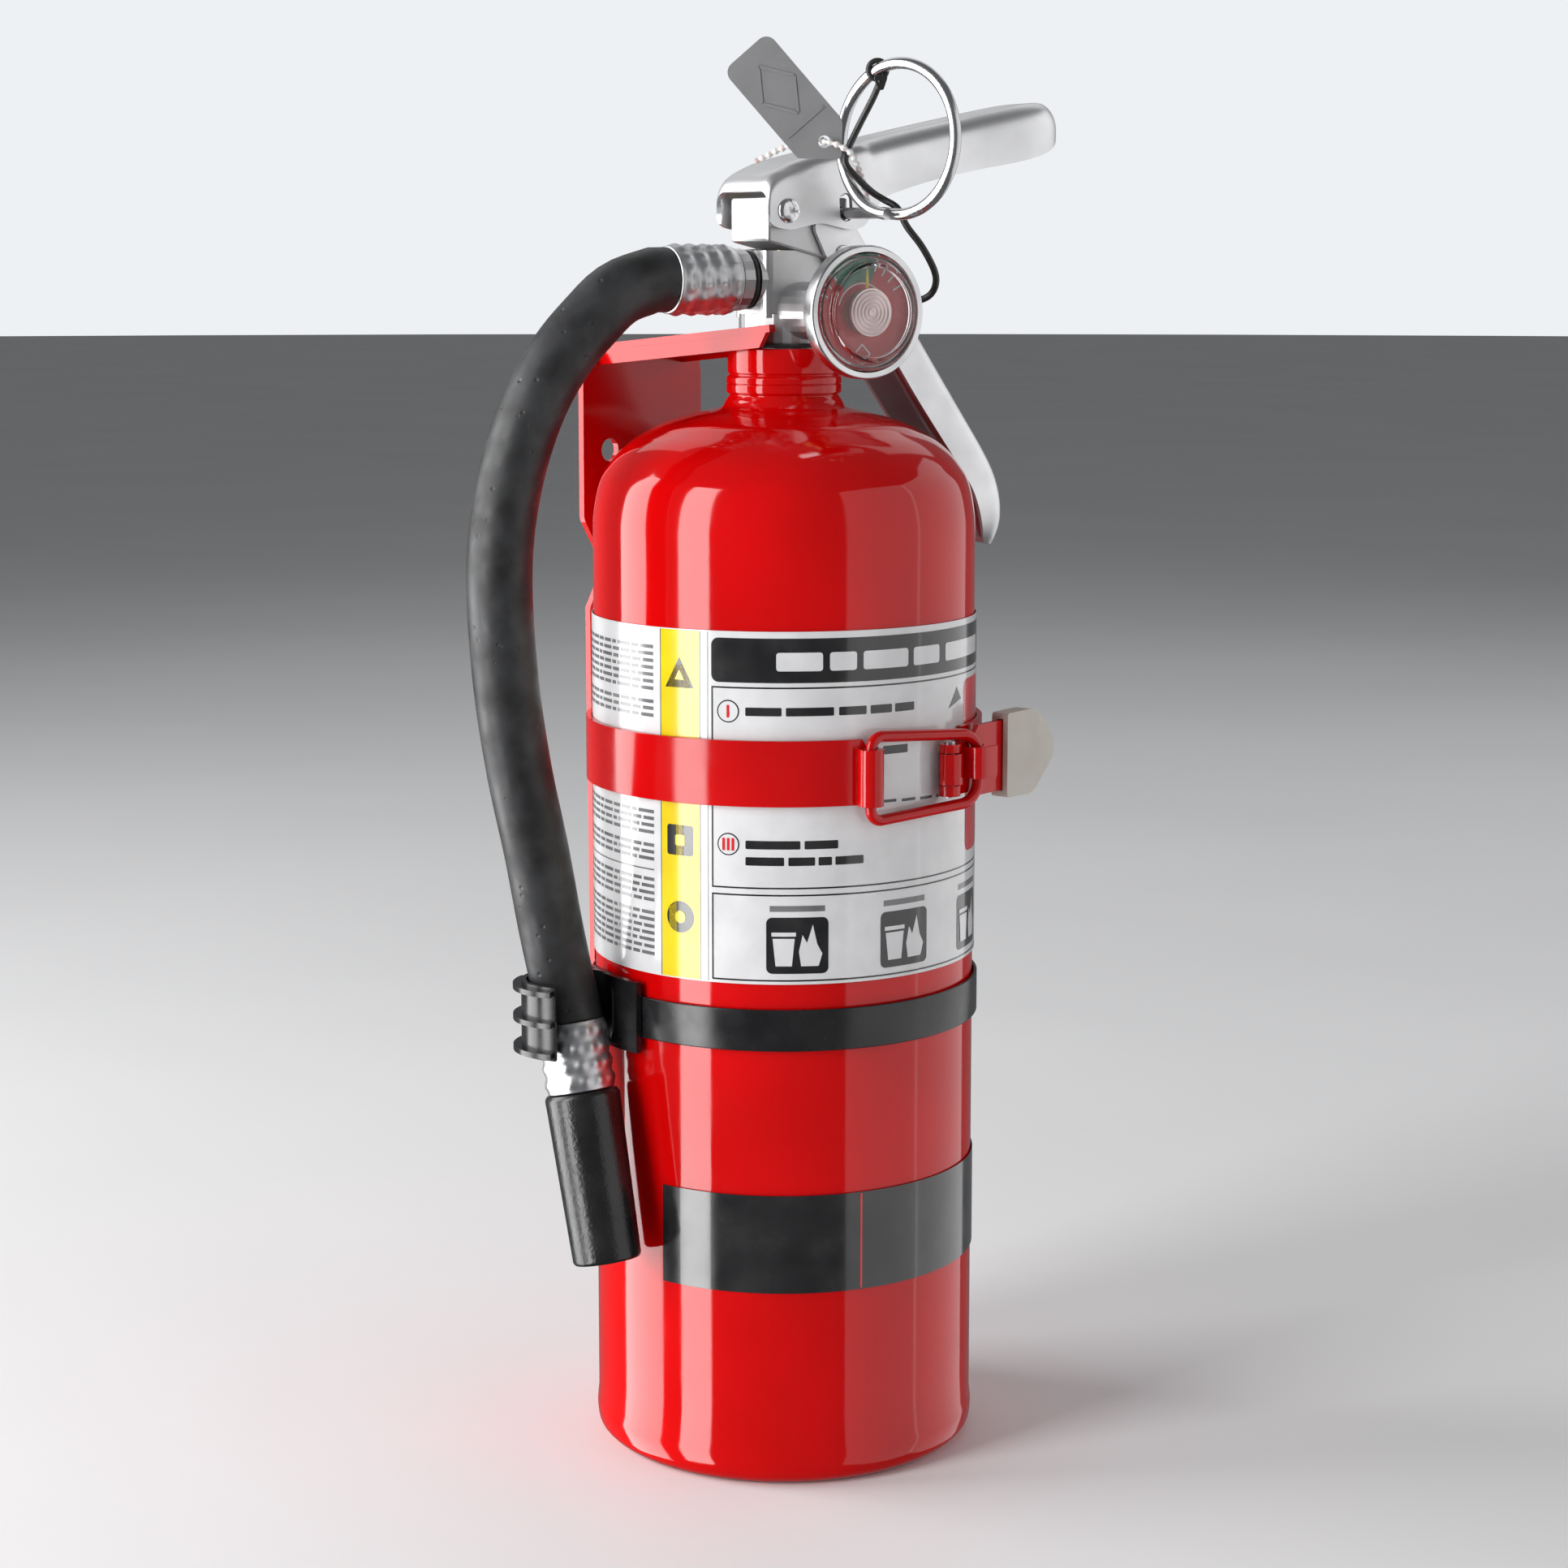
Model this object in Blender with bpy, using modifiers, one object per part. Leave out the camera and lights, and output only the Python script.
"""Portable stored-pressure fire extinguisher, clamped in its wall bracket.

Metres, +Z up, base on z = 0. The wall is on the +Y side and the strap's latch faces -Y.
The extinguisher has its own frame, turned about its axis inside the bracket: the lever and the
carry handle point along its +X, the hose port along its -X and the gauge along its -Y.
"""

import math

import bmesh
import bpy
from mathutils import Matrix, Vector

MM = 0.001
GAP = 0.3               # clearance between touching pieces, in millimetres, as all sizes below

# Placing
AXIS_X = -3.4           # where the cylinder's axis stands, so that the origin is under the middle
AXIS_Y = 2.8
EXTINGUISHER_TURN = -14.6

# Cylinder
BODY_R = 54.0
BODY_WALL = 1.4
SHOULDER_Z = 262.0
COLLAR_R = 15.9
COLLAR_BORE_R = 12.8
COLLAR_TOP = 312.0
LABEL_R = BODY_R + GAP
LABEL_THICK = 0.2

# Valve
BLOCK_HALF_Y = 9.9
PORT_FACE_X = -12.2
PORT_Z = 331.0
GAUGE_Z = 322.4
BOSS_END = 24.0
BLOCK_TOP = 353.6
SEAT_Z = 325.0
STEM_R = 2.15

# Lever and handle
PIVOT_X = -7.2
PIVOT_Z = 349.8
PIN_X = 11.8
PIN_Z = 349.2
HANDLE_RIVET_X = 12.2
HANDLE_RIVET_Z = 338.0
LEVER_HALF = 14.0
HANDLE_HALF = 11.7
SHEET = 1.5
LEVER_SWING = 10.0

# Pull pin
PIN_R = 1.6
RING_R = 20.15
RING_FOOT_Y = -40.0

# Hose and nozzle
HOSE_R = 8.9
HOSE_START_X = -38.0
FERRULE_R = 10.0
HOSE_LEAD = 4.0         # straight run of the hose into each ferrule
HOSE_END = (-68.3, 2.4, 127.0)
NOZZLE_TOP = (-67.5, -2.3, 107.8)
NOZZLE_TILT = (1.8, -11.0, -46.3)
NOZZLE_LENGTH = 47.0

# Strap, latch and bracket
STRAP_R = 54.8
STRAP_THICK = 1.5
STRAP_LOW = 190.8
STRAP_HIGH = 208.7
PLATE_FRONT = 56.9
PLATE_THICK = 2.0
ROLL_R = 58.4           # distance of the strap's rolled ends from the axis
BAIL_AZIMUTH = -23.1
HINGE_AZIMUTH = 4.4
BAIL_WIRE_R = 1.55
BAIL_FAR_R = 62.0
BAIL_FAR_AZIMUTH = 12.8
LATCH_TURN = 5.0        # direction of the closed latch lever, from +X towards +Y
FORK_SLOPE = 5.4

RED = ("red_paint", (0.62, 0.01, 0.01), 0.25, 0.0)
STEEL = ("plated_steel", (0.72, 0.72, 0.71), 0.25, 1.0)
VALVE_METAL = ("cast_aluminium", (0.78, 0.78, 0.78), 0.35, 1.0)
BRASS = ("brass", (0.72, 0.53, 0.22), 0.3, 1.0)
RUBBER = ("black_rubber", (0.03, 0.03, 0.03), 0.6, 0.0)
BLACK_PLASTIC = ("black_plastic", (0.02, 0.02, 0.02), 0.35, 0.0)
WHITE_RUBBER = ("white_rubber", (0.75, 0.72, 0.68), 0.55, 0.0)
CLEAR = ("clear_plastic", (0.9, 0.9, 0.9), 0.05, 0.0)
PAPER_WHITE = ("label_white", (0.85, 0.85, 0.85), 0.35, 0.0)
LABEL_BLACK = ("label_black", (0.02, 0.02, 0.02), 0.3, 0.0)
DIAL_RED = ("dial_red", (0.6, 0.02, 0.03), 0.4, 0.0)
YELLOW = ("needle_yellow", (0.8, 0.6, 0.05), 0.4, 0.0)
GREY_TAG = ("grey_plastic", (0.22, 0.22, 0.22), 0.5, 0.0)
TIE_PLASTIC = ("tie_plastic", (0.75, 0.75, 0.73), 0.4, 0.0)
POWDER = ("powder", (0.8, 0.75, 0.5), 0.9, 0.0)


# ---------------------------------------------------------------- scene and helpers

def clear_scene():
    for item in list(bpy.data.objects):
        bpy.data.objects.remove(item, do_unlink=True)


clear_scene()
PARTS = bpy.data.collections.new("fire_extinguisher")
CUTTERS = bpy.data.collections.new("cutters")
bpy.context.scene.collection.children.link(PARTS)
bpy.context.scene.collection.children.link(CUTTERS)


def make_frame(name, turn):
    """An empty on the cylinder's axis, turned about +Z."""
    frame = bpy.data.objects.new(name, None)
    frame.location = (AXIS_X * MM, AXIS_Y * MM, 0.0)
    frame.rotation_euler = (0.0, 0.0, math.radians(turn))
    PARTS.objects.link(frame)
    return frame


EXTINGUISHER = make_frame("extinguisher_frame", EXTINGUISHER_TURN)
BRACKET = make_frame("bracket_frame", 0.0)


def scaled(point):
    return Vector(point) * MM


def material(spec):
    name, colour, roughness, metallic = spec
    found = bpy.data.materials.get(name)
    if found:
        return found
    made = bpy.data.materials.new(name)
    made.use_nodes = True
    shader = made.node_tree.nodes["Principled BSDF"]
    shader.inputs["Base Color"].default_value = (*colour, 1.0)
    shader.inputs["Roughness"].default_value = roughness
    shader.inputs["Metallic"].default_value = metallic
    return made


def add_object(name, data, spec, frame, location=(0.0, 0.0, 0.0), turn=None):
    """Link a mesh or curve as a part, or as a cutter when it has no material."""
    made = bpy.data.objects.new(name, data)
    made.parent = frame
    spin = turn if turn is not None else Matrix.Identity(3)
    made.matrix_local = Matrix.Translation(scaled(location)) @ spin.to_4x4()
    if spec is None:
        CUTTERS.objects.link(made)
        made.hide_render = True
        made.display_type = "WIRE"
    else:
        PARTS.objects.link(made)
        data.materials.append(material(spec))
    return made


def shade_round(mesh, angle=35.0):
    mesh.shade_smooth()
    mesh.set_sharp_from_angle(angle=math.radians(angle))


def aim(direction):
    """The turn that takes +Z to a direction."""
    return Vector(direction).to_track_quat("Z", "Y").to_matrix()


def mesh_from(curve_object):
    """Turn a curve object into a welded mesh object of the same name and place."""
    bpy.context.view_layer.update()
    graph = bpy.context.evaluated_depsgraph_get()
    mesh = bpy.data.meshes.new_from_object(curve_object.evaluated_get(graph))
    welder = bmesh.new()
    welder.from_mesh(mesh)
    bmesh.ops.remove_doubles(welder, verts=welder.verts, dist=1e-6)
    bmesh.ops.recalc_face_normals(welder, faces=welder.faces)
    welder.to_mesh(mesh)
    welder.free()
    name = curve_object.name
    frame = curve_object.parent
    place = curve_object.matrix_world.copy()
    home = curve_object.users_collection[0]
    is_cutter = curve_object.hide_render
    bpy.data.objects.remove(curve_object, do_unlink=True)
    made = bpy.data.objects.new(name, mesh)
    made.parent = frame
    made.matrix_world = place
    made.hide_render = is_cutter
    made.display_type = "WIRE" if is_cutter else "TEXTURED"
    home.objects.link(made)
    return made


def turned(name, profile, spec, frame, location=(0, 0, 0), direction=(0, 0, 1), segments=32):
    """A turned piece from (radius, height) points that run down its outer side.

    A profile that neither starts nor ends on the axis is a ring, and is closed on itself."""
    mesh = bpy.data.meshes.new(name)
    points = [(r * MM, 0.0, z * MM) for r, z in profile]
    edges = [(i, i + 1) for i in range(len(points) - 1)]
    if profile[0][0] > 0.0 and profile[-1][0] > 0.0:
        edges.append((len(points) - 1, 0))
    mesh.from_pydata(points, edges, [])
    made = add_object(name, mesh, spec, frame, location, aim(direction))
    screw = made.modifiers.new("turn", "SCREW")
    screw.steps = segments
    screw.render_steps = segments
    screw.use_merge_vertices = True
    screw.merge_threshold = 0.00001
    screw.use_smooth_shade = True
    return made


def cylinder(name, radius, start, end, spec=None, frame=EXTINGUISHER, segments=24):
    """A plain round bar between two points."""
    mesh = bpy.data.meshes.new(name)
    body = bmesh.new()
    length = (Vector(end) - Vector(start)).length
    bmesh.ops.create_cone(body, cap_ends=True, segments=segments, radius1=radius * MM,
                          radius2=radius * MM, depth=length * MM)
    body.to_mesh(mesh)
    body.free()
    shade_round(mesh)
    middle = (Vector(start) + Vector(end)) / 2
    return add_object(name, mesh, spec, frame, middle, aim(Vector(end) - Vector(start)))


def box(name, low, high, spec=None, frame=EXTINGUISHER, turn=None, pivot=(0, 0, 0), bevel=0.0):
    """A block between two corners, turned about a pivot."""
    mesh = bpy.data.meshes.new(name)
    body = bmesh.new()
    bmesh.ops.create_cube(body, size=1.0)
    size = Vector(high) - Vector(low)
    middle = (Vector(low) + Vector(high)) / 2
    for vertex in body.verts:
        vertex.co = Vector([vertex.co[i] * size[i] + middle[i] for i in range(3)]) * MM
    body.to_mesh(mesh)
    body.free()
    made = add_object(name, mesh, spec, frame, pivot, turn)
    if bevel:
        add_bevel(made, bevel)
    return made


def add_bevel(target, width, segments=2, angle=40.0):
    bevel = target.modifiers.new("edges", "BEVEL")
    bevel.width = width * MM
    bevel.segments = segments
    bevel.limit_method = "ANGLE"
    bevel.angle_limit = math.radians(angle)
    return bevel


def wire(name, points, radius, spec, frame, closed=False, resolution=2):
    """A round bar or cord along points, as a curve with a bevel."""
    curve = bpy.data.curves.new(name, "CURVE")
    curve.dimensions = "3D"
    curve.bevel_depth = radius * MM
    curve.bevel_resolution = resolution
    curve.use_fill_caps = not closed
    spline = curve.splines.new("POLY")
    spline.points.add(len(points) - 1)
    for target, point in zip(spline.points, points):
        target.co = (*scaled(point), 1.0)
    spline.use_cyclic_u = closed
    spline.use_smooth = True
    return add_object(name, curve, spec, frame)


def flat(name, outline, thick, spec, frame, location=(0, 0, 0), turn=None):
    """A flat sheet of an outline in its own XY plane, centred on that plane."""
    curve = bpy.data.curves.new(name, "CURVE")
    curve.dimensions = "2D"
    curve.fill_mode = "BOTH"
    curve.extrude = thick / 2 * MM
    spline = curve.splines.new("POLY")
    spline.points.add(len(outline) - 1)
    for target, (x, y) in zip(spline.points, outline):
        target.co = (x * MM, y * MM, 0.0, 1.0)
    spline.use_cyclic_u = True
    return mesh_from(add_object(name, curve, spec, frame, location, turn))


def ribbon(name, path, low, high, thick, spec, frame, location=(0, 0, 0), turn=None):
    """A bent strip: a path in plan, raised between two heights and given its thickness."""
    curve = bpy.data.curves.new(name, "CURVE")
    curve.dimensions = "3D"
    curve.extrude = (high - low) / 2 * MM
    spline = curve.splines.new("POLY")
    spline.points.add(len(path) - 1)
    for target, (x, y) in zip(spline.points, path):
        target.co = (x * MM, y * MM, (low + high) / 2 * MM, 1.0)
    made = mesh_from(add_object(name, curve, spec, frame, location, turn))
    add_thickness(made, thick, 0.0)
    return made


def add_thickness(target, thick, offset):
    solidify = target.modifiers.new("sheet", "SOLIDIFY")
    solidify.thickness = thick * MM
    solidify.offset = offset
    solidify.use_even_offset = True
    solidify.use_quality_normals = True
    return solidify


def boolean(target, tool, operation):
    modifier = target.modifiers.new(operation.lower(), "BOOLEAN")
    modifier.operation = operation
    modifier.solver = "EXACT"
    modifier.object = tool
    return modifier


def cut(target, *tools):
    for tool in tools:
        boolean(target, tool, "DIFFERENCE")


def join(target, *tools):
    for tool in tools:
        boolean(target, tool, "UNION")


def arc(centre, radius, start, end, steps):
    """Points on an arc in plan, angles in degrees from +X towards +Y."""
    points = []
    for i in range(steps + 1):
        angle = math.radians(start + (end - start) * i / steps)
        points.append((centre[0] + radius * math.cos(angle),
                       centre[1] + radius * math.sin(angle)))
    return points


def rounded(corners, radii, steps=4):
    """An outline with its corners rounded, each by its own radius."""
    points = []
    count = len(corners)
    for i, radius in enumerate(radii):
        here = Vector(corners[i])
        before = (Vector(corners[i - 1]) - here).normalized()
        after = (Vector(corners[(i + 1) % count]) - here).normalized()
        if radius <= 0.0:
            points.append(tuple(here))
            continue
        half = before.angle(after) / 2
        reach = radius / math.tan(half)
        centre = here + (before + after).normalized() * radius / math.sin(half)
        first = here + before * reach - centre
        last = here + after * reach - centre
        sweep = first.angle_signed(last)
        for k in range(steps + 1):
            turn = Matrix.Rotation(-sweep * k / steps, 2)
            points.append(tuple(centre + turn @ first))
    return points


def mirrored(points):
    """A right-hand half outline, completed by its mirror image across the Y axis."""
    return points + [(-x, y) for x, y in reversed(points)]


def around(radius, azimuth):
    """A point in plan at an azimuth measured from -Y towards +X."""
    angle = math.radians(azimuth)
    return (radius * math.sin(angle), -radius * math.cos(angle))


def smooth_route(knots, spacing):
    """Points at an even spacing on a smooth curve through the knots."""
    knots = [Vector(k) for k in knots]
    ends = [2 * knots[0] - knots[1]] + knots + [2 * knots[-1] - knots[-2]]
    fine = []
    for i in range(len(knots) - 1):
        p0, p1, p2, p3 = ends[i:i + 4]
        for k in range(20):
            t = k / 20
            fine.append(0.5 * (2 * p1 + (p2 - p0) * t + (2 * p0 - 5 * p1 + 4 * p2 - p3) * t * t
                               + (3 * p1 - p0 - 3 * p2 + p3) * t ** 3))
    fine.append(knots[-1])
    walked = [0.0]
    for a, b in zip(fine, fine[1:]):
        walked.append(walked[-1] + (b - a).length)
    count = max(2, round(walked[-1] / spacing))
    points = []
    j = 0
    for i in range(count + 1):
        want = walked[-1] * i / count
        while j < len(fine) - 2 and walked[j + 1] < want:
            j += 1
        share = (want - walked[j]) / (walked[j + 1] - walked[j])
        points.append(tuple(fine[j].lerp(fine[j + 1], min(1.0, share))))
    return points


# ---------------------------------------------------------------- cylinder and its content

def build_cylinder():
    # All runs go down the outer side and back up the inner one, as (radius, height).
    collar = [(COLLAR_BORE_R, COLLAR_TOP), (COLLAR_R, COLLAR_TOP), (COLLAR_R, 305.2),
              (15.3, 304.6), (16.2, 303.9), (16.2, 299.6), (15.3, 299.0), (16.3, 297.6)]
    shoulder = [(16.9, 295.8), (26.4, 293.3), (33.4, 291.2), (42.6, 286.2), (49.4, 279.3),
                (52.9, 271.3), (BODY_R, SHOULDER_Z)]
    base = [(BODY_R, 11.0), (BODY_R + 0.5, 7.0), (54.0, 2.4), (51.0, 0.0), (48.0, 0.0),
            (38.0, 4.4), (20.0, 6.9), (0.0, 7.8)]
    floor = [(0.0, 7.8 + BODY_WALL), (20.0, 8.3), (38.4, 5.9), (48.4, 1.7), (51.0, 2.2),
             (BODY_R - BODY_WALL, 6.6)]
    ceiling = [(BODY_R - BODY_WALL, SHOULDER_Z), (51.2, 271.0), (47.2, 279.8), (41.0, 285.2),
               (32.5, 289.6), (COLLAR_BORE_R, 294.6)]
    turned("cylinder_shell", floor + ceiling + collar + shoulder + base, RED, EXTINGUISHER,
           segments=44)


def build_content():
    turned("agent_charge", [(7.2, 182.0), (52.1, 182.0), (52.1, 9.6), (7.2, 9.6)], POWDER,
           EXTINGUISHER, segments=32)
    turned("siphon_tube", [(4.6, 294.7), (5.6, 294.7), (5.6, 13.0), (4.6, 13.0)], BLACK_PLASTIC,
           EXTINGUISHER, segments=20)


# ---------------------------------------------------------------- valve and what it holds

def build_valve():
    neck = turned("valve_body", [(0.0, 321.5), (12.7, 321.5), (12.7, 313.8), (12.4, 313.8),
                                 (12.4, 290.0), (0.0, 290.0)],
                  VALVE_METAL, EXTINGUISHER, segments=32)
    column_outline = rounded([(-11.5, -8.7), (11.5, -8.7), (11.5, 8.7), (-11.5, 8.7)], [2.5] * 4)
    column = flat("valve_column", column_outline, 18.5, None, EXTINGUISHER, (0, 0, 329.75))
    lug = [(-11.5, BLOCK_TOP), (-11.5, 341.4), (6.5, 337.0), (14.8, 334.6), (14.8, BLOCK_TOP)]
    upright = Matrix.Rotation(math.radians(90), 3, "X")
    head = flat("valve_head", lug, 2 * BLOCK_HALF_Y, None, EXTINGUISHER, turn=upright)
    add_bevel(head, 0.8)
    port = cylinder("valve_port", 8.4, (-8, 0, PORT_Z), (PORT_FACE_X, 0, PORT_Z), segments=24)
    boss = cylinder("valve_gauge_boss", 8.0, (0, -6, GAUGE_Z), (0, -BOSS_END, GAUGE_Z),
                    segments=24)
    join(neck, column, head, port, boss)
    stem_bores = [(0.0, 360.0), (3.9, 360.0), (3.9, 350.2), (2.5, 350.2), (2.5, 336.0),
                  (5.5, 336.0), (5.5, SEAT_Z + 2.0), (4.0, SEAT_Z + 2.0), (4.0, SEAT_Z),
                  (7.0, SEAT_Z), (7.0, 285.0), (0.0, 285.0)]
    hose_bores = [(0.0, 20.0), (5.7, 20.0), (5.7, 6.4), (4.0, 6.4), (4.0, 0.0), (0.0, 0.0)]
    gauge_bores = [(0.0, 30.0), (5.2, 30.0), (5.2, 12.1), (1.6, 12.1), (1.6, 0.0), (0.0, 0.0)]
    cut(neck,
        turned("stem_bores", stem_bores, None, EXTINGUISHER, segments=24),
        turned("hose_bores", hose_bores, None, EXTINGUISHER, (0, 0, PORT_Z), (-1, 0, 0), 20),
        turned("gauge_bores", gauge_bores, None, EXTINGUISHER, (0, 0, GAUGE_Z), (0, -1, 0), 20),
        cylinder("pivot_bore", 2.35, (PIVOT_X, -20, PIVOT_Z), (PIVOT_X, 20, PIVOT_Z), segments=20),
        cylinder("pin_bore", 2.1, (PIN_X, -20, PIN_Z), (PIN_X, 20, PIN_Z), segments=20),
        cylinder("handle_bore", 1.9, (HANDLE_RIVET_X, -20, HANDLE_RIVET_Z),
                 (HANDLE_RIVET_X, 20, HANDLE_RIVET_Z), segments=20))


def build_valve_seals():
    turned("neck_o_ring", [(12.8, 313.45), (14.2, 313.45), (14.6, 313.1), (14.6, 312.6),
                           (14.2, 312.3), (12.8, 312.3)], RUBBER, EXTINGUISHER, segments=24)
    turned("stem_o_ring", [(2.45, 352.2), (3.5, 352.2), (3.6, 351.4), (3.5, 350.6),
                           (2.45, 350.6)], RUBBER, EXTINGUISHER, segments=20)
    turned("stem_seal", [(STEM_R + GAP, SEAT_Z - GAP), (5.6, SEAT_Z - GAP), (5.6, 321.7),
                         (STEM_R + GAP, 321.7)], RUBBER, EXTINGUISHER, segments=24)


def build_stem():
    turned("valve_stem", [(0.0, 362.2), (1.2, 362.0), (STEM_R, 360.8), (STEM_R, 321.4),
                          (5.2, 321.4), (5.2, 319.6), (2.6, 319.6), (2.6, 316.0), (0.0, 316.0)],
           BRASS, EXTINGUISHER, segments=20)
    turned("stem_retainer", [(3.6, 298.0), (6.7, 298.0), (6.7, 288.0), (5.9, 288.0),
                             (5.9, 295.0), (3.6, 295.0)], BRASS, EXTINGUISHER, segments=24)
    turns = 5
    low = 298.9
    high = 318.7
    points = []
    for i in range(turns * 12 + 1):
        share = i / (turns * 12)
        angle = math.radians(360 * turns * share)
        points.append((4.4 * math.cos(angle), 4.4 * math.sin(angle), low + (high - low) * share))
    wire("stem_spring", points, 0.55, STEEL, EXTINGUISHER, resolution=1)


# ---------------------------------------------------------------- lever and carry handle

def channel(name, stations, thick, spec, corner_steps=3):
    """A bent sheet channel that runs along X and Z, open on the side its walls point to.

    Each station is (x, z, wall direction in degrees, half width, wall depth, corner radius)."""
    body = bmesh.new()
    rows = []
    for x, z, heading, half, depth, corner in stations:
        wall = Vector((math.cos(math.radians(heading)), 0.0, math.sin(math.radians(heading))))
        side = [(half, depth), (half, (depth + corner) / 2), (half, corner)]
        for k in range(1, corner_steps + 1):
            angle = math.pi / 2 * k / corner_steps
            side.append((half - corner * (1 - math.cos(angle)), corner * (1 - math.sin(angle))))
        section = side + [(0.0, 0.0)] + [(-y, d) for y, d in reversed(side)]
        row = [body.verts.new(scaled(Vector((x, -y, z)) + wall * d)) for y, d in section]
        rows.append(row)
    for first, second in zip(rows, rows[1:]):
        for i in range(len(first) - 1):
            body.faces.new((first[i], first[i + 1], second[i + 1], second[i]))
    body.faces.new(rows[-1])
    bmesh.ops.recalc_face_normals(body, faces=body.faces)
    mesh = bpy.data.meshes.new(name)
    body.to_mesh(mesh)
    body.free()
    shade_round(mesh, 50.0)
    made = add_object(name, mesh, spec, EXTINGUISHER)
    add_thickness(made, thick, -1.0)
    return made


def build_lever():
    # Height of the top and of the cheeks' lower edge, and the half width, along the lever.
    outline = [(-13.8, 355.2, 349.0, 13.6), (-13.2, 357.4, 346.8, 14.0), (-11.0, 359.8, 345.3, 14.0),
               (-6.4, 362.1, 344.7, 14.0), (-2.5, 363.6, 345.4, 14.0), (3.5, 365.2, 346.4, 14.0),
               (8.5, 366.4, 345.6, 14.0), (13.5, 367.6, 344.8, 14.0), (17.5, 368.5, 345.8, 14.0),
               (20.5, 369.2, 349.0, 13.8), (24.0, 370.0, 353.0, 13.4), (30.0, 371.4, 355.5, 12.9),
               (43.0, 374.2, 359.0, 12.6), (58.0, 377.3, 362.0, 12.6), (71.0, 379.9, 364.2, 12.4),
               (79.0, 381.3, 365.9, 11.4), (84.5, 381.7, 367.6, 9.6), (88.4, 380.7, 369.4, 7.2),
               (90.8, 378.4, 371.2, 4.6)]
    stations = []
    for x, top, low, half in outline:
        corner = 4.0 if x < 20 else 6.0
        corner = min(corner, half * 0.9, (top - low) * 0.8)
        stations.append((x, top, -90.0, half, top - low, corner))
    lever = channel("operating_lever", stations, SHEET, STEEL)
    hole_half = 20.0
    pivot = cylinder("lever_pivot_hole", 2.35, (PIVOT_X, -hole_half, PIVOT_Z),
                     (PIVOT_X, hole_half, PIVOT_Z), segments=20)
    # The pull pin's hole is drawn out upwards, so that the lever can dip past a pin left in.
    travel = (PIN_X - PIVOT_X) * math.sin(math.radians(LEVER_SWING))
    slot = rounded([(PIN_X - 2.1, PIN_Z - 2.2), (PIN_X + 2.1, PIN_Z - 2.2),
                    (PIN_X + 1.6, PIN_Z + travel + 2.3), (PIN_X - 2.6, PIN_Z + travel + 2.3)],
                   [2.0] * 4)
    upright = Matrix.Rotation(math.radians(90), 3, "X")
    slot_cutter = flat("lever_pin_slot", slot, 40.0, None, EXTINGUISHER, turn=upright)
    cut(lever, pivot, slot_cutter)


def build_handle():
    # Along the outer web, from the valve down to the tip: place, wall direction, half width
    # and depth of the side walls.
    outline = [(18.6, 344.4, 214.0, 11.7, 14.0), (23.5, 337.3, 215.1, 11.7, 12.6),
               (30.0, 328.1, 215.1, 11.6, 11.6), (38.3, 316.3, 215.1, 11.4, 11.4),
               (47.0, 304.0, 214.8, 11.2, 11.4), (55.5, 292.0, 214.0, 11.1, 11.0),
               (62.0, 282.8, 211.0, 11.0, 10.6), (66.6, 275.4, 206.0, 10.6, 10.0),
               (69.6, 268.4, 198.0, 9.6, 9.4), (71.2, 261.8, 190.0, 7.9, 8.2),
               (71.4, 256.6, 180.0, 5.6, 6.2), (70.6, 253.4, 166.0, 3.6, 4.0)]
    stations = []
    for x, z, heading, half, depth in outline:
        stations.append((x, z, heading, half, depth, min(3.6, half * 0.8, depth * 0.7)))
    handle = channel("carry_handle", stations, SHEET, STEEL)
    ear = [(2.8, 346.4), (3.2, 344.0), (6.6, 337.4), (11.6, 334.9), (17.0, 327.2), (23.0, 331.5),
           (22.0, 337.4), (18.0, 343.2), (15.6, 346.4)]
    upright = Matrix.Rotation(math.radians(90), 3, "X")
    middle = HANDLE_HALF - SHEET / 2
    for side, name in ((-1, "ear_near"), (1, "ear_far")):
        join(handle, flat(name, ear, SHEET - 0.04, None, EXTINGUISHER, (0, side * middle, 0),
                          upright))
    cut(handle,
        cylinder("handle_rivet_hole", 1.9, (HANDLE_RIVET_X, -20, HANDLE_RIVET_Z),
                 (HANDLE_RIVET_X, 20, HANDLE_RIVET_Z), segments=20))


def build_rivets():
    for name, x, z, half, shank_r, head_r, head_t in (
            ("lever_rivet", PIVOT_X, PIVOT_Z, LEVER_HALF, 2.0, 3.4, 1.0),
            ("handle_rivet", HANDLE_RIVET_X, HANDLE_RIVET_Z, HANDLE_HALF, 1.6, 2.6, 0.4)):
        inner = half + 0.25
        outer = inner + head_t
        profile = [(0.0, outer), (head_r * 0.6, outer - head_t * 0.25),
                   (head_r, inner), (shank_r, inner), (shank_r, -inner), (head_r, -inner),
                   (head_r * 0.6, -outer + head_t * 0.25), (0.0, -outer)]
        turned(name, profile, STEEL, EXTINGUISHER, (x, 0, z), (0, -1, 0), segments=14)


# ---------------------------------------------------------------- pull pin, seal and tether

def ring_frame():
    """Centre of the pull ring, its sideways direction and the direction its end steps aside."""
    along = Vector((0.23, -0.973, 0.0)).normalized()
    aside = Vector((-0.973, -0.23, 0.0)).normalized()
    centre = Vector((PIN_X, RING_FOOT_Y, PIN_Z - 0.6 + RING_R))
    return centre, along, aside


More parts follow.
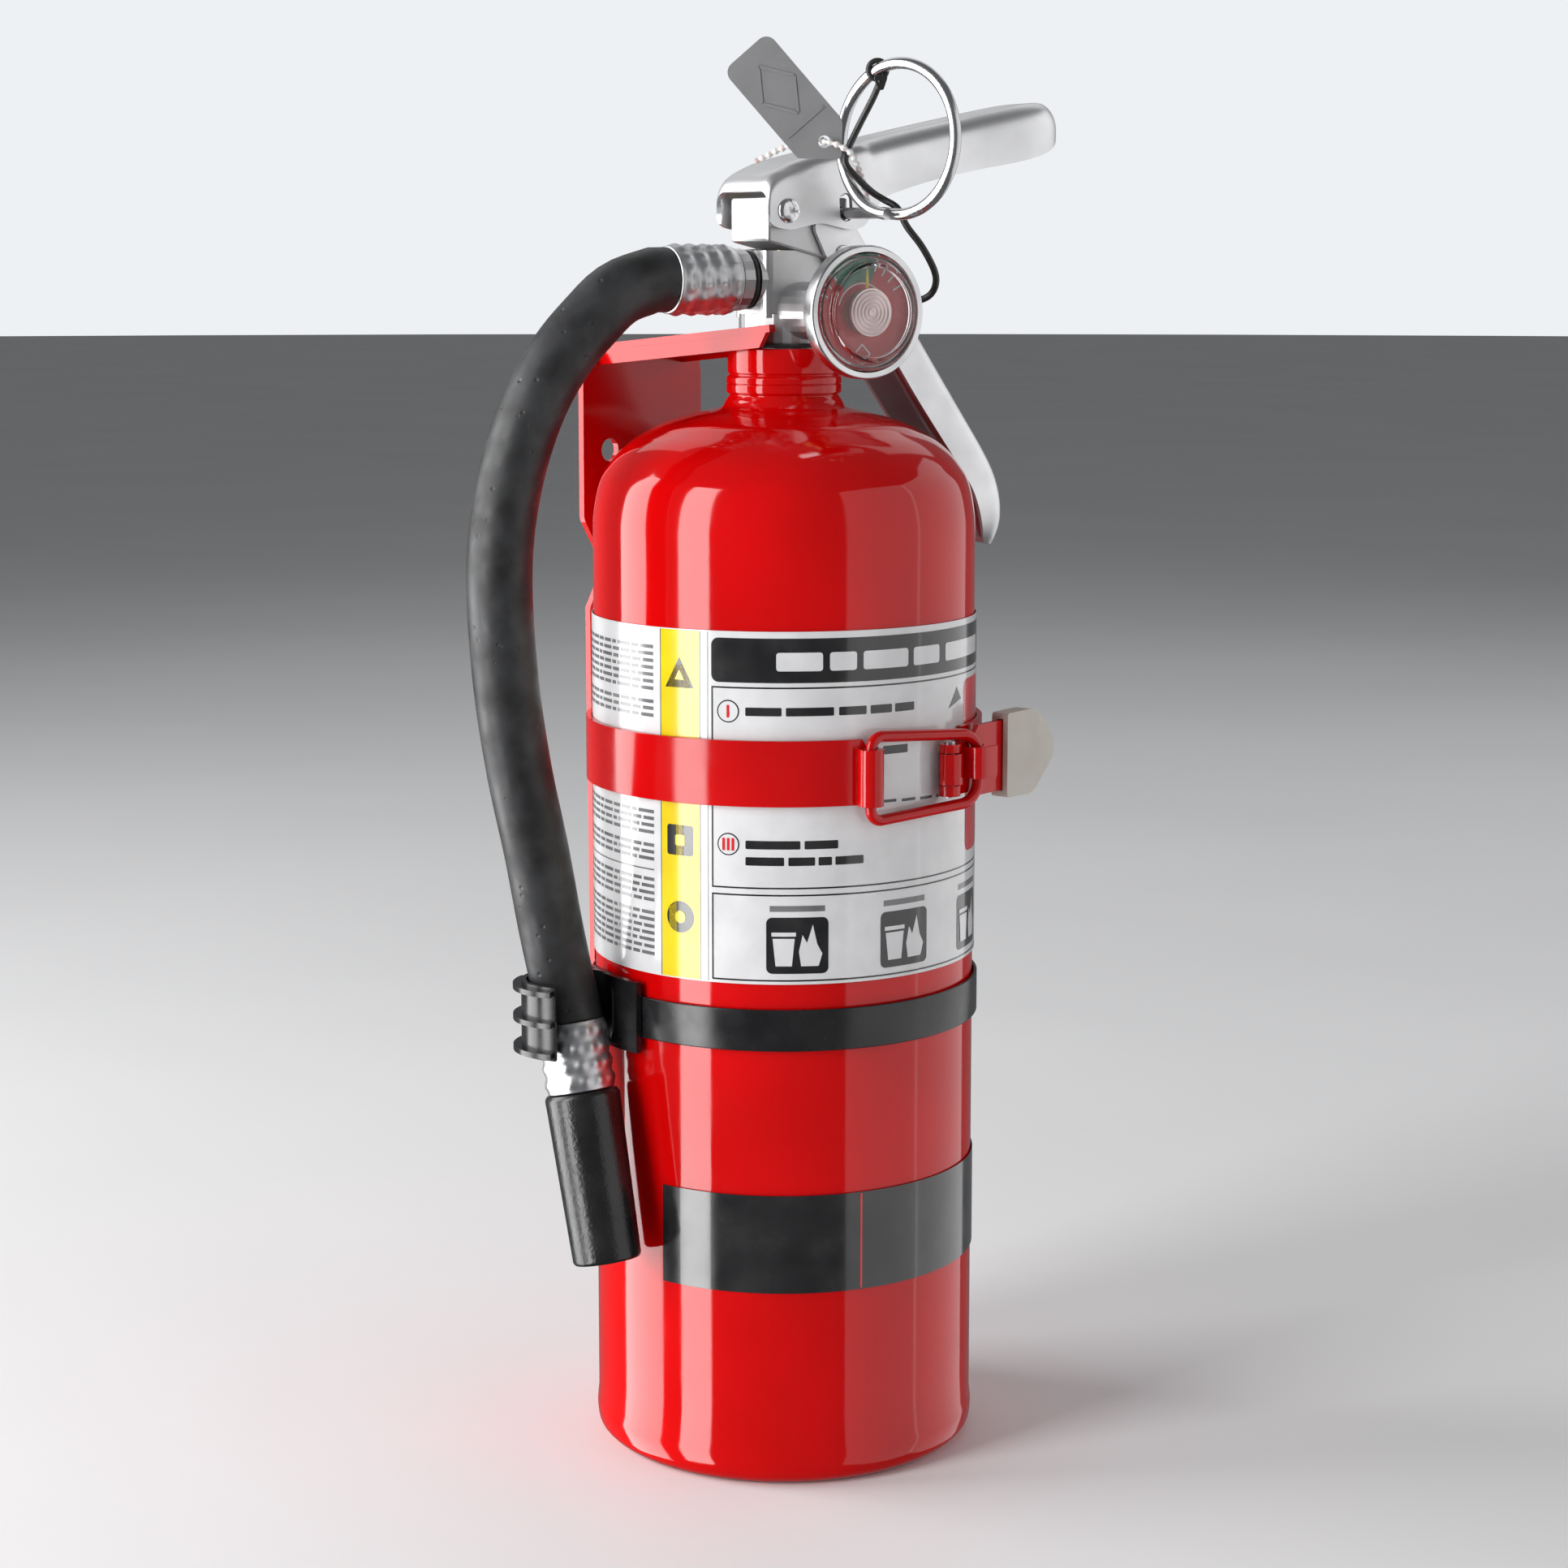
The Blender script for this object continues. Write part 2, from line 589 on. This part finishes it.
def build_pin():
    centre, along, aside = ring_frame()
    points = [(PIN_X, 17.0, PIN_Z), (PIN_X, 0.0, PIN_Z), (PIN_X, -18.0, PIN_Z),
              (PIN_X, -33.0, PIN_Z)]
    steps = 30
    for i in range(steps + 1):
        share = i / steps
        angle = math.radians(-90 + 357 * share)
        place = centre + along * RING_R * math.cos(angle) + aside * 3.7 * share ** 3
        place.z = centre.z + RING_R * math.sin(angle)
        points.append(tuple(place))
    wire("pull_pin", points, PIN_R, STEEL, EXTINGUISHER)


def build_seal():
    # The tag hangs in a plane that faces between the gauge and the hose.
    facing = Vector((-0.531, -0.848, 0.0))
    across = Vector((0.848, -0.531, 0.0))
    turn = Matrix((across, Vector((0, 0, 1)), facing)).transposed()
    lean = Matrix.Rotation(math.radians(41.0), 3, "Z")
    outline = rounded([(0.3, -6.7), (7.6, 1.2), (7.6, 32.3), (-8.4, 32.3), (-8.4, 1.4)],
                      [1.5, 4.0, 3.0, 3.0, 1.5])
    hole_place = Vector((-1.3, -22.8, 368.3))
    tag = flat("seal_tag", outline, 0.9, GREY_TAG, EXTINGUISHER, hole_place, turn @ lean)
    cut(tag, cylinder("tag_hole", 1.7, hole_place - facing * 5, hole_place + facing * 5,
                      segments=16))


def build_tie():
    # From a tail that lies on the lever, through the tag's hole and down to the pin's shaft.
    route = [(-12.0, -4.6, 363.4), (-10.4, -6.4, 364.4), (-7.4, -10.2, 366.6),
             (-3.6, -16.0, 368.8), (-1.0, -20.6, 368.8), (-1.3, -22.8, 368.3),
             (-0.9, -25.2, 368.0), (0.8, -27.6, 367.0), (3.5, -28.9, 365.0),
             (6.3, -27.7, 361.6), (9.2, -25.8, 357.8), (11.4, -24.4, 354.6),
             (12.2, -23.6, 352.9)]
    wire("tamper_seal_tie", smooth_route(route, 2.0), 0.9, TIE_PLASTIC, EXTINGUISHER)


def build_tether():
    # From the top of the ring, inside it and past the seal, round the gauge to its stem.
    route = [(9.8, -33.6, 384.6), (9.2, -30.9, 380.0), (6.8, -27.4, 372.4), (4.1, -26.2, 366.1),
             (3.1, -26.7, 362.4), (5.9, -28.0, 358.6), (10.4, -28.7, 354.8),
             (13.4, -29.6, 352.9), (15.9, -33.0, 350.4), (17.8, -34.8, 345.5),
             (21.4, -37.0, 339.9), (24.2, -38.8, 333.6), (24.8, -38.6, 329.6),
             (24.4, -36.0, 326.6), (21.6, -33.2, 325.0), (15.6, -32.2, 323.9),
             (9.6, -32.0, 323.0), (5.3, -32.2, 322.6)]
    wire("pin_tether", smooth_route(route, 3.4), 0.95, RUBBER, EXTINGUISHER)


# ---------------------------------------------------------------- gauge

def build_gauge():
    place = (0, 0, GAUGE_Z)
    out = (0, -1, 0)
    turned("gauge_stem", [(1.3, 42.0), (1.3, 41.2), (6.2, 41.2), (6.2, 39.9), (2.6, 39.9),
                          (2.6, 36.4), (3.6, 36.4), (3.6, 30.4), (6.4, 30.4), (6.4, 24.4),
                          (4.9, 24.4), (4.9, 12.4), (0.8, 12.4), (0.8, 42.0)], BRASS,
           EXTINGUISHER, place, out, segments=20)
    turned("gauge_case", [(16.2, 42.8), (17.6, 42.8), (18.0, 42.3), (18.0, 38.6), (17.2, 37.5),
                          (15.0, 37.0), (3.0, 37.0), (3.0, 37.9), (15.4, 37.9), (16.2, 38.6)],
           STEEL, EXTINGUISHER, place, out, segments=32)
    turned("gauge_dial", [(3.0, 39.2), (15.6, 39.2), (15.6, 38.7), (3.0, 38.7)], DIAL_RED,
           EXTINGUISHER, place, out, segments=32)
    turned("bourdon_coil", [(0.0, 44.4), (6.1, 44.4), (6.5, 44.0), (6.5, 42.6), (6.1, 42.3),
                            (0.0, 42.3)], BRASS, EXTINGUISHER, place, out, segments=24)
    turned("gauge_lens", [(0.0, 46.4), (12.7, 46.4), (13.4, 45.8), (13.4, 44.0), (15.3, 43.8),
                          (15.8, 43.3), (15.8, 41.6), (14.6, 41.6), (14.6, 42.9), (12.3, 43.2),
                          (12.2, 45.3), (0.0, 45.3)], CLEAR, EXTINGUISHER, place, out,
           segments=32)
    pointer = [(-0.9, 0.0), (0.9, 0.0), (0.15, 12.3), (-0.15, 12.3)]
    upright = Matrix.Rotation(math.radians(90), 3, "X")
    needle = flat("gauge_needle", pointer, 0.24, YELLOW, EXTINGUISHER, (0, -41.78, GAUGE_Z),
                  upright)
    hub = cylinder("needle_hub", 2.9, (0, -41.64, GAUGE_Z), (0, -41.92, GAUGE_Z), segments=16)
    join(needle, hub)
    cut(needle, cylinder("needle_bore", 1.55, (0, -41, GAUGE_Z), (0, -43, GAUGE_Z), segments=16))


# ---------------------------------------------------------------- hose, nozzle and clip

def build_hose():
    turned("hose_coupling", [(2.9, 34.0), (5.3, 34.0), (5.3, 18.0), (8.4, 18.0), (8.6, 17.6),
                             (8.6, 14.4), (5.3, 14.2), (5.3, 6.8), (2.9, 6.8)], VALVE_METAL,
           EXTINGUISHER, (0, 0, PORT_Z), (-1, 0, 0), segments=20)
    turned("coupling_o_ring", [(5.6, 13.9), (8.0, 13.9), (8.3, 13.5), (8.3, 12.9), (8.0, 12.5),
                               (5.6, 12.5)], RUBBER, EXTINGUISHER, (0, 0, PORT_Z), (-1, 0, 0),
           segments=20)
    ferrule("ferrule_valve_end", 18.3, 38.0, (0, 0, PORT_Z), (-1, 0, 0))
    start = Vector((HOSE_START_X - GAP, 0.0, PORT_Z))
    end = Vector(HOSE_END)
    into_ferrule = (Vector(NOZZLE_TOP) - end).normalized()
    knots = [start + Vector((-HOSE_LEAD, 0, 0)), (-53.0, 0.0, 327.4), (-61.5, 0.0, 320.4),
             (-71.0, 0.0, 310.4), (-80.0, 0.0, 296.0), (-87.0, 0.0, 276.0), (-90.0, 0.0, 254.0),
             (-88.6, 0.2, 226.0), (-84.6, 0.6, 200.0), (-79.1, 1.1, 176.0), (-74.4, 2.5, 155.0),
             (-71.0, 3.4, 141.5), end - into_ferrule * HOSE_LEAD]
    route = [start] + smooth_route(knots, 12.0) + [end]
    wire("hose", route, HOSE_R, RUBBER, EXTINGUISHER, resolution=3)


def ferrule(name, start, end, location, direction):
    """A crimped sleeve with four raised bands, between two distances along a direction."""
    length = end - start
    outer = [(FERRULE_R - 0.7, end)]
    for k in range(4):
        crest = end - length * (0.14 + 0.23 * k)
        outer += [(FERRULE_R, crest + 1.2), (FERRULE_R - 0.5, crest - 1.8)]
    outer.append((FERRULE_R - 0.7, start))
    turned(name, [(5.6, end)] + outer + [(5.6, start)], STEEL, EXTINGUISHER, location, direction,
           segments=20)


def build_nozzle():
    direction = Vector(NOZZLE_TILT).normalized()
    top = Vector(NOZZLE_TOP)
    hose_end = Vector(HOSE_END)
    reach = (top - hose_end).length
    sleeve = (top - hose_end).normalized()
    ferrule("ferrule_nozzle_end", GAP, reach - GAP, tuple(hose_end), tuple(sleeve))
    turned("nozzle_insert", [(2.6, -0.3), (5.2, -0.3), (5.2, -reach + 2.0), (2.6, -reach + 2.0)],
           BRASS, EXTINGUISHER, tuple(top), tuple(direction), segments=20)
    # Distances along the nozzle run from its seat to its mouth.
    profile = [(2.6, 0.0), (4.2, 14.0), (6.6, NOZZLE_LENGTH), (9.0, NOZZLE_LENGTH),
               (9.5, NOZZLE_LENGTH - 0.6), (10.4, 3.0), (10.5, 0.8), (9.9, 0.0)]
    turned("nozzle", profile, BLACK_PLASTIC, EXTINGUISHER, tuple(top),
           tuple(direction), segments=24)


def build_clip():
    centre = (-69.2, 1.4)
    low = 119.0
    high = 139.5
    wall = 1.4
    middle = 12.6
    path = arc(centre, middle, -20, 225, 22)
    clip = ribbon("hose_clip", path, low, high, wall, BLACK_PLASTIC, EXTINGUISHER)
    fins = []
    for share in (0.08, 0.5, 0.92):
        level = low + (high - low) * share
        fin = arc(centre, middle + 3.0, 120, 222, 8) + arc(centre, middle, 222, 120, 8)
        fins.append(flat(f"clip_fin_{share * 100:.0f}", fin, 1.5, None, EXTINGUISHER,
                         (0, 0, level)))
    base = arc((0, 0), 57.6, 167, 193, 8) + arc((0, 0), 55.7, 193, 167, 8)
    foot = flat("clip_foot", base, high - low - 0.6, None, EXTINGUISHER, (0, 0, (low + high) / 2))
    join(clip, foot, *fins)
    turned("clip_band", [(54.45, 135.0), (55.4, 135.0), (55.4, 123.5), (54.45, 123.5)],
           BLACK_PLASTIC, EXTINGUISHER, segments=40)


# ---------------------------------------------------------------- labels

def build_labels():
    """Thin wrapped sheets; angles from -Y towards +X in the extinguisher's frame."""
    middle = LABEL_R + LABEL_THICK / 2
    for name, start, end, low, high, spec in (
            ("instruction_label", -150.0, 150.0, 141.9, 238.0, PAPER_WHITE),
            ("band_label", -70.0, 105.0, 55.4, 82.9, LABEL_BLACK)):
        steps = round((end - start) / 7.5)
        path = [around(middle, start + (end - start) * i / steps) for i in range(steps + 1)]
        ribbon(name, path, low, high, LABEL_THICK, spec, EXTINGUISHER)


# ---------------------------------------------------------------- strap and latch

def rolled_path(start, end, centre_azimuth, steps):
    """A strap arm in plan from the wall side to its rolled end round a pin."""
    middle = STRAP_R + STRAP_THICK / 2
    arm = [around(middle, start + (end - start) * i / steps) for i in range(steps + 1)]
    centre = Vector(around(ROLL_R, centre_azimuth))
    first = Vector(arm[-1]) - centre
    angle = math.degrees(math.atan2(first.y, first.x))
    side = 1 if end > start else -1
    radius = ROLL_R - middle
    for k in range(1, 11):
        turn = math.radians(angle + side * 28.5 * k)
        arm.append((centre.x + radius * math.cos(turn), centre.y + radius * math.sin(turn)))
    return arm


def build_strap():
    flat_y = PLATE_FRONT - GAP - STRAP_THICK / 2
    long_arm = [(-1.0, flat_y), (-10.8, flat_y)]
    long_arm += rolled_path(-162.0, BAIL_AZIMUTH, BAIL_AZIMUTH, 26)
    short_arm = [(1.0, flat_y), (10.8, flat_y)]
    short_arm += rolled_path(162.0, HINGE_AZIMUTH, HINGE_AZIMUTH, 28)
    for name, path, hole_x, roll_azimuth, reach, keep in (
            ("strap_long_arm", long_arm, -7.0, BAIL_AZIMUTH, 3.2, (STRAP_LOW, 206.3)),
            ("strap_short_arm", short_arm, 7.0, HINGE_AZIMUTH, 8.7, (194.0, 202.6))):
        arm = ribbon(name, path, STRAP_LOW, STRAP_HIGH, STRAP_THICK, RED, BRACKET)
        centre = around(ROLL_R, roll_azimuth)
        cut(arm,
            cylinder(name + "_hole", 2.1, (hole_x, 50, 199.75), (hole_x, 60, 199.75), None,
                     BRACKET, 16))
        # The roll is narrower than the strap, to leave the bail and the lever their room.
        for vertex in arm.data.vertices:
            if (vertex.co.xy - Vector(centre) * MM).length < reach * MM:
                vertex.co.z = min(max(vertex.co.z, keep[0] * MM), keep[1] * MM)
    for side, name in ((-1, "left"), (1, "right")):
        turned("strap_rivet_" + name, [(0.0, 4.6), (3.4, 4.5), (3.4, 4.0), (1.8, 4.0),
                                       (1.8, 0.0), (0.0, 0.0)], STEEL, BRACKET,
               (side * 7.0, 58.8, 199.75), (0, -1, 0), segments=16)


def build_latch():
    hinge = around(ROLL_R, HINGE_AZIMUTH)
    cylinder("latch_hinge_pin", 1.5, (*hinge, 190.4), (*hinge, 205.8), STEEL, BRACKET, 16)
    upright = Matrix.Rotation(math.radians(LATCH_TURN), 3, "Z") @ \
        Matrix.Rotation(math.radians(90), 3, "X")
    outline = rounded([(2.0, 190.8), (9.5, 190.8), (12.5, 189.3), (41.0, 189.3), (41.0, 209.0),
                       (12.5, 209.0), (9.5, 205.2), (2.0, 205.2), (2.0, 202.9), (4.2, 202.9),
                       (4.2, 193.7), (2.0, 193.7)],
                      [0, 0, 0, 5.0, 5.0, 0, 0, 0, 0, 0, 0, 0])
    lever = flat("latch_lever", outline, STRAP_THICK, RED, BRACKET, (*hinge, 0), upright)
    tab_turn = Matrix.Rotation(math.radians(LATCH_TURN), 3, "Z")
    tab = ribbon("latch_hook_tab", [(4.9, 0.4), (5.3, -4.6), (5.9, -6.0), (7.4, -6.5),
                                    (12.6, -6.5)], 195.3, 203.9, 1.3, None, BRACKET,
                 (*hinge, 0), tab_turn)
    join(lever, tab)
    for low, high, tag in ((190.8, 193.7, "low"), (202.9, 205.2, "high")):
        knuckle = turned("latch_knuckle_" + tag, [(1.8, high), (3.0, high), (3.0, low),
                                                  (1.8, low)], None, BRACKET, (*hinge, 0),
                         segments=20)
        join(lever, knuckle)
    window = box("latch_window", (8.0, -3.0, 195.0), (15.0, 3.0, 203.4), None, BRACKET,
                 tab_turn, (*hinge, 0))
    cut(lever, window)
    cap_outline = rounded([(24.0, 187.2), (37.0, 187.0), (47.2, 196.6), (47.2, 201.8),
                           (38.0, 211.2), (24.0, 211.0)], [1.0, 7.0, 3.0, 3.0, 7.0, 1.0])
    cap = flat("latch_grip_cap", cap_outline, 5.4, WHITE_RUBBER, BRACKET, (*hinge, 0), upright)
    add_bevel(cap, 1.4)
    pocket = box("cap_pocket", (20.0, -1.05, 189.0), (41.3, 1.05, 209.3), None, BRACKET,
                 tab_turn, (*hinge, 0))
    cut(cap, pocket)


def build_bail():
    """A closed wire loop: one bar in the strap's roll, the other under the lever's hook."""
    held = Vector(around(ROLL_R, BAIL_AZIMUTH))
    hooked = Vector(around(BAIL_FAR_R, BAIL_FAR_AZIMUTH))
    length = (hooked - held).length
    corners = [(0.0, 186.3), (length, 188.5), (length, 207.2), (0.0, 209.6)]
    outline = rounded(corners, [3.5, 6.0, 6.0, 3.5], 4)
    points = []
    for x, z in outline:
        place = held.lerp(hooked, x / length)
        points.append((place.x, place.y, z))
    wire("latch_bail", points, BAIL_WIRE_R, RED, BRACKET, closed=True)


# ---------------------------------------------------------------- bracket

def build_bracket():
    upright = Matrix.Rotation(math.radians(90), 3, "X")
    # The right-hand half of the plate's outline as (x, z, corner radius), from the bottom up.
    half = [(21.0, 96.0, 6.0), (22.0, 236.0, 3.0), (18.0, 243.0, 6.0), (18.0, 252.0, 6.0),
            (24.0, 262.0, 4.0), (24.0, 311.6, 8.0)]
    corners = mirrored([(x, z) for x, z, _ in half])
    radii = [r for _, _, r in half]
    outline = rounded(corners, radii + radii[::-1])
    middle_y = PLATE_FRONT + PLATE_THICK / 2
    plate = flat("bracket_plate", outline, PLATE_THICK, RED, BRACKET, (0, middle_y, 0),
                 upright)
    # Fork: two arms that pass the valve's neck above the collar, with lips along their sides.
    root_y = PLATE_FRONT + PLATE_THICK - 0.2
    slope = Matrix.Rotation(math.radians(-FORK_SLOPE), 3, "X")
    reach = 70.3
    slot_half = 13.2
    slot_end = -root_y + 14.0
    arms = [(17.8, 0.0), (17.8, -reach), (15.5, -reach), (slot_half, -reach + 4.0),
            (slot_half, slot_end - slot_half)]
    arms += [(slot_half * math.cos(a), slot_end - slot_half + slot_half * math.sin(a))
             for a in [math.radians(15 * k) for k in range(1, 6)]]
    fork = flat("fork_sheet", mirrored(arms), PLATE_THICK, None, BRACKET, (0, root_y, 311.2),
                slope)
    lips = []
    for side in (-1, 1):
        turn = slope @ Matrix.Rotation(math.radians(90), 3, "Z") @ \
            Matrix.Rotation(math.radians(90), 3, "X")
        lip = [(-reach, 0.9), (-0.6, 0.9), (-0.6, -5.0), (-reach + 4.5, -5.0)]
        lips.append(flat(f"fork_lip_{side}", lip, 1.6, None, BRACKET,
                         (side * 16.98, root_y, 311.2), turn))
    join(plate, fork, *lips)
    add_bevel(plate, 0.4, 1, 60.0)
    for x, z, name in ((-13.5, 281.6, "top_left"), (13.5, 281.6, "top_right"),
                       (0.0, 112.0, "bottom")):
        cut(plate, cylinder("screw_hole_" + name, 3.4, (x, 50, z), (x, 65, z), None, BRACKET))
    for side in (-1, 1):
        cut(plate, cylinder(f"rivet_hole_{side}", 2.1, (side * 7.0, 50, 199.75),
                            (side * 7.0, 65, 199.75), None, BRACKET, 16))


build_cylinder()
build_content()
build_valve()
build_valve_seals()
build_stem()
build_lever()
build_handle()
build_rivets()
build_pin()
build_seal()
build_tie()
build_tether()
build_gauge()
build_hose()
build_nozzle()
build_clip()
build_labels()
build_strap()
build_latch()
build_bail()
build_bracket()
bpy.context.view_layer.update()
